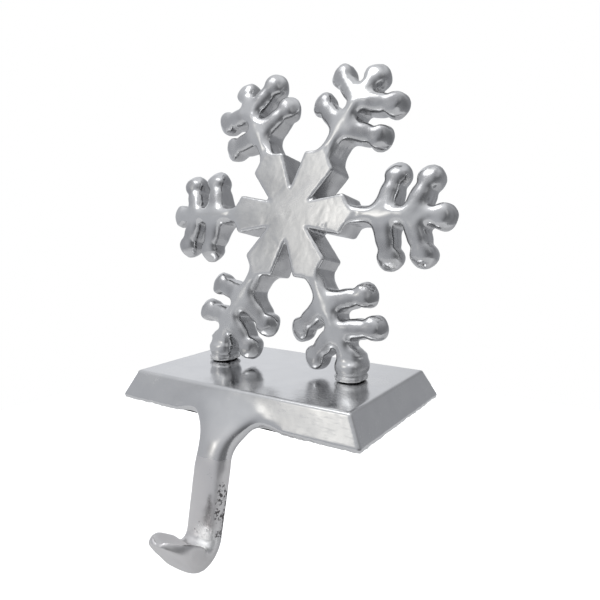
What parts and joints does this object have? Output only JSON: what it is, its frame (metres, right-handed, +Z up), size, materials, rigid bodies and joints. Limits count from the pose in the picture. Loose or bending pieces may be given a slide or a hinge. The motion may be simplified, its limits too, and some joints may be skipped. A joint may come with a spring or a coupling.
{
  "type": "mantel stocking holder",
  "caption": "Mantel stocking holder: a thick cast snowflake standing on a bevelled block base with a curled hook hanging from its front edge.",
  "frame": {"origin": "centre of the underside of the non-slip pad, on the mantel's top", "axes": "+Z up, -Y to the front where the hook hangs, +X to the right seen from the front"},
  "size_m": [0.1374, 0.1072, 0.1828],
  "materials": {
    "base_metal": "hand-polished cast aluminium, nickel plated, with unpolished pitted patches on the hook",
    "flake_metal": "hand-polished cast aluminium, nickel plated",
    "screw_steel": "zinc plated steel",
    "pad_rubber": "matte black foam rubber"
  },
  "bodies": {
    "root": {"base_and_hook": "base_metal", "snowflake": "flake_metal", "snowflake_screws": "screw_steel", "non_slip_pad": "pad_rubber"}
  },
  "joints": []
}
